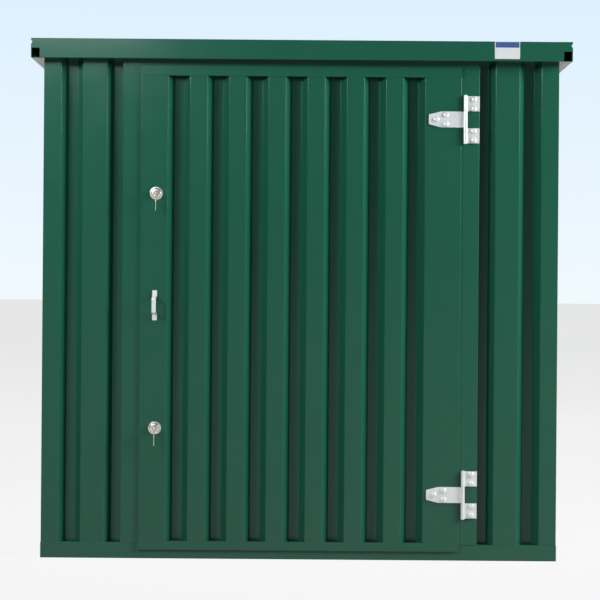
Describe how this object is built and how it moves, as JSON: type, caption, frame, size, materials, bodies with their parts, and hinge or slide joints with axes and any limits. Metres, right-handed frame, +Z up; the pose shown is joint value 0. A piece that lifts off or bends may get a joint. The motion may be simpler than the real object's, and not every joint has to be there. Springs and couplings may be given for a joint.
{
  "type": "steel storage container",
  "caption": "Flat-pack steel storage container with ribbed walls, a boxed roof edge, a board floor and a hinged front door with locks and a pull handle.",
  "frame": {"origin": "on the ground under the middle of the roof outline", "axes": "+X to the right seen from the front, +Y from the front towards the back, +Z up; the door is in the -Y face"},
  "size_m": [2.192, 2.27, 2.11],
  "materials": {
    "green_paint": "semi-gloss moss green powder coat on steel sheet",
    "galvanised": "pale galvanised steel, slightly mottled",
    "floor_board": "brown coated plywood floor board",
    "rosette_nickel": "satin nickel lock rosette",
    "lock_brass": "dull brass lock cylinder",
    "key_nickel": "nickel plated keys and ring"
  },
  "bodies": {
    "container": {"base_rail_front": "green_paint", "base_rail_rear": "green_paint", "base_rail_left": "green_paint", "base_rail_right": "green_paint", "floor_joists": "galvanised", "floor_board_front": "floor_board", "floor_board_rear": "floor_board", "corner_post_front_left": "green_paint", "corner_post_front_right": "green_paint", "corner_post_rear_left": "green_paint", "corner_post_rear_right": "green_paint", "front_wall_left": "green_paint", "front_wall_right": "green_paint", "left_wall": "green_paint", "right_wall": "green_paint", "rear_wall": "green_paint", "door_jamb_left": "green_paint", "door_jamb_right": "green_paint", "door_header": "green_paint", "roof_fascia_front": "green_paint", "roof_fascia_rear": "green_paint", "eaves_left": "green_paint", "eaves_right": "green_paint", "roof_purlins": "galvanised", "roof_sheet": "green_paint", "upper_hinge_leaf": "galvanised", "lower_hinge_leaf": "galvanised"},
    "door": {"door_sheet": "green_paint", "door_top_channel": "green_paint", "door_bottom_channel": "green_paint", "door_left_stile": "green_paint", "door_right_stile": "green_paint", "upper_hinge_strap": "galvanised", "lower_hinge_strap": "galvanised", "pull_handle": "galvanised", "upper_lock_rosette": "rosette_nickel", "lower_lock_rosette": "rosette_nickel", "upper_lock_case": "galvanised", "lower_lock_case": "galvanised", "upper_lock_cylinder": "lock_brass", "lower_lock_cylinder": "lock_brass"},
    "upper_key": {"upper_key": "key_nickel", "upper_key_ring": "key_nickel"},
    "lower_key": {"lower_key": "key_nickel", "lower_key_ring": "key_nickel"}
  },
  "joints": [
    {"name": "door_hinge", "type": "hinge", "parent": "container", "child": "door", "pos_m": [0.668, -1.0975, 1.03325], "axis": [0, 0, 1], "range_deg": [0, 170]},
    {"name": "upper_key_turn", "type": "hinge", "parent": "door", "child": "upper_key", "pos_m": [-0.588, -1.09, 1.488], "axis": [0, 1, 0], "range_deg": [0, 360]},
    {"name": "lower_key_turn", "type": "hinge", "parent": "door", "child": "lower_key", "pos_m": [-0.588, -1.09, 0.533], "axis": [0, 1, 0], "range_deg": [0, 360]}
  ]
}
